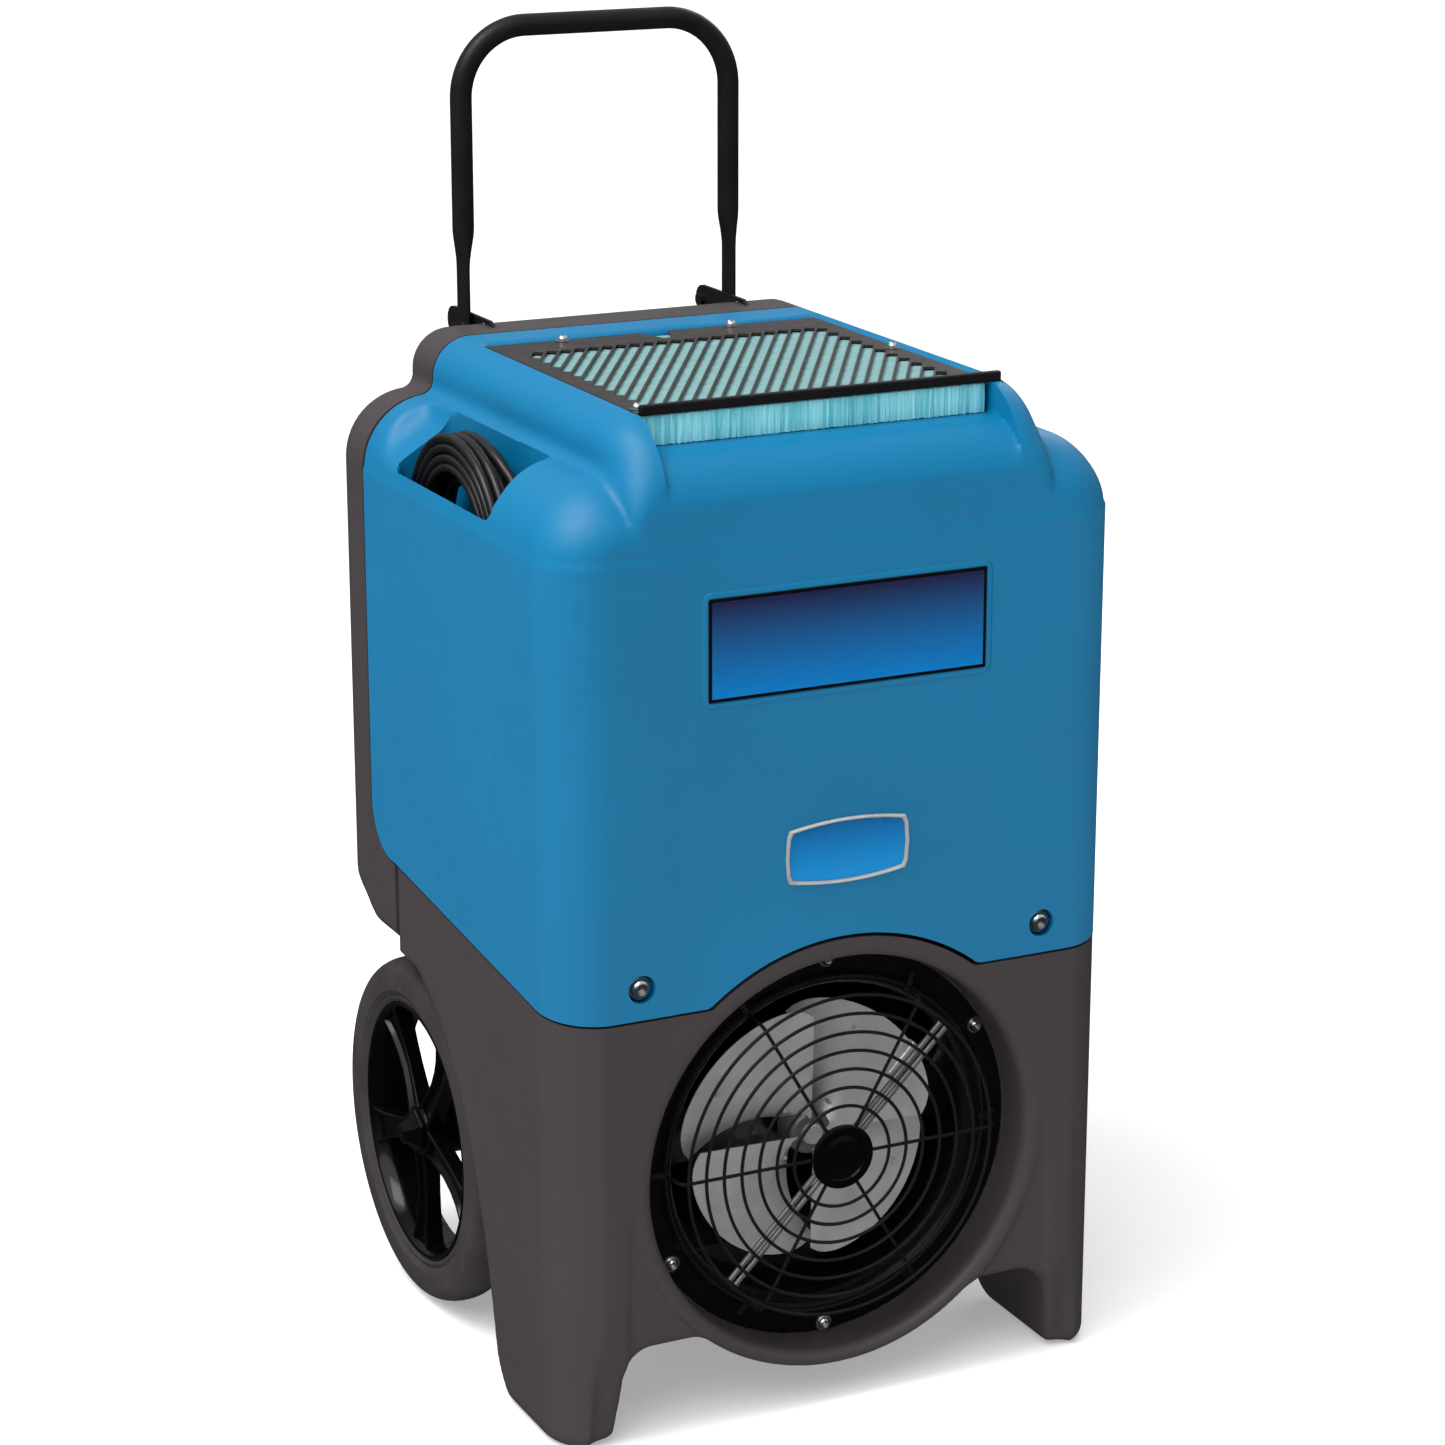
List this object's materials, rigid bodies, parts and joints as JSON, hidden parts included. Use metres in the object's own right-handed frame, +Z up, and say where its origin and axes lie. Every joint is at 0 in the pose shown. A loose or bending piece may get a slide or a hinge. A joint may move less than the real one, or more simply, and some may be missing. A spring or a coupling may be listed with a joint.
{
  "type": "commercial dehumidifier",
  "caption": "Portable commercial dehumidifier: rotomoulded housing with front fan outlet, top air intake and filter, side pockets, tall wheels and a fold-down push handle.",
  "frame": {"origin": "On the floor, under the middle of the object's bounding box", "axes": "+Z up, front (fan outlet) towards -Y, +X to the right of someone who faces the front as drawn"},
  "size_m": [0.508, 0.534, 1.11],
  "materials": {
    "housing_blue": "satin blue polyethylene moulding",
    "housing_grey": "fine-textured dark grey polyethylene moulding",
    "grille_grey": "dark grey powder coat",
    "black_steel": "black powder coat",
    "zinc_steel": "zinc plated steel",
    "label_blue": "printed plate without lettering",
    "black_plastic": "black moulded plastic",
    "aluminium": "mill finish",
    "copper": "copper tube",
    "dark_lens": "dark display window",
    "key_grey": "rubber key",
    "filter_media": "open fibre pad",
    "rubber": "black cable sheath",
    "tyre": "semi-pneumatic tyre"
  },
  "bodies": {
    "housing": {"base_housing": "housing_grey", "upper_housing": "housing_blue", "rear_housing": "housing_grey", "intake_grille": "grille_grey", "filter_retainer_bar": "black_steel", "grille_screw_1": "zinc_steel", "grille_screw_2": "zinc_steel", "grille_screw_3": "zinc_steel", "grille_screw_4": "zinc_steel", "label_plate": "label_blue", "badge_frame": "zinc_steel", "badge_plate": "label_blue", "housing_bolt_left": "zinc_steel", "housing_bolt_right": "zinc_steel", "fan_shroud": "black_plastic", "shroud_screw_1": "zinc_steel", "shroud_screw_2": "zinc_steel", "shroud_screw_3": "zinc_steel", "shroud_screw_4": "zinc_steel", "fan_guard": "black_steel", "guard_disc": "black_plastic", "guard_brace_bar": "zinc_steel", "fan_motor": "black_steel", "motor_mount_bar": "zinc_steel", "condenser_coil": "aluminium", "evaporator_coil": "aluminium", "heat_exchanger_core": "aluminium", "drain_pan": "black_plastic", "compressor": "black_steel", "accumulator": "copper", "equipment_deck": "zinc_steel", "suction_line": "copper", "discharge_line": "copper", "condensate_pump": "black_plastic", "drain_fitting": "black_plastic", "control_box": "zinc_steel", "control_panel": "black_plastic", "display_lens": "dark_lens", "axle": "zinc_steel", "handle_bracket_left": "black_steel", "handle_bracket_right": "black_steel", "pivot_bolt_left": "zinc_steel", "pivot_bolt_right": "zinc_steel", "cord_gland": "black_plastic", "cord_lead": "rubber", "cord_coil": "rubber", "cord_tail": "rubber", "power_plug": "black_plastic"},
    "fan": {"fan_blades": "aluminium"},
    "filter": {"air_filter": "filter_media"},
    "left_wheel": {"rim_left": "black_plastic", "tyre_left": "tyre", "hub_cap_left": "black_plastic"},
    "right_wheel": {"rim_right": "black_plastic", "tyre_right": "tyre", "hub_cap_right": "black_plastic"},
    "handle": {"handle": "black_steel"},
    "power_key": {"power_key": "key_grey"},
    "purge_key": {"purge_key": "key_grey"},
    "display_key": {"display_key": "key_grey"}
  },
  "joints": [
    {"name": "fan_spin", "type": "hinge", "parent": "housing", "child": "fan", "pos_m": [0, -0.197, 0.22], "axis": [0, -1, 0], "continuous": true},
    {"name": "left_wheel_spin", "type": "hinge", "parent": "housing", "child": "left_wheel", "pos_m": [-0.222, 0.091, 0.154], "axis": [1, 0, 0], "continuous": true},
    {"name": "right_wheel_spin", "type": "hinge", "parent": "housing", "child": "right_wheel", "pos_m": [0.222, 0.091, 0.154], "axis": [1, 0, 0], "continuous": true},
    {"name": "handle_fold", "type": "hinge", "parent": "housing", "child": "handle", "pos_m": [0, 0.215, 0.838], "axis": [-1, 0, 0], "range_deg": [0, 180]},
    {"name": "filter_slide", "type": "slide", "parent": "housing", "child": "filter", "axis": [0, -1, 0], "range_m": [0, 0.31]},
    {"name": "power_key_press", "type": "slide", "parent": "housing", "child": "power_key", "axis": [0, -1, 0], "range_m": [0, 0.0012], "stiffness_N_per_m": 900, "springref_m": -0.0006},
    {"name": "purge_key_press", "type": "slide", "parent": "housing", "child": "purge_key", "axis": [0, -1, 0], "range_m": [0, 0.0012], "stiffness_N_per_m": 900, "springref_m": -0.0006},
    {"name": "display_key_press", "type": "slide", "parent": "housing", "child": "display_key", "axis": [0, -1, 0], "range_m": [0, 0.0012], "stiffness_N_per_m": 900, "springref_m": -0.0006}
  ]
}
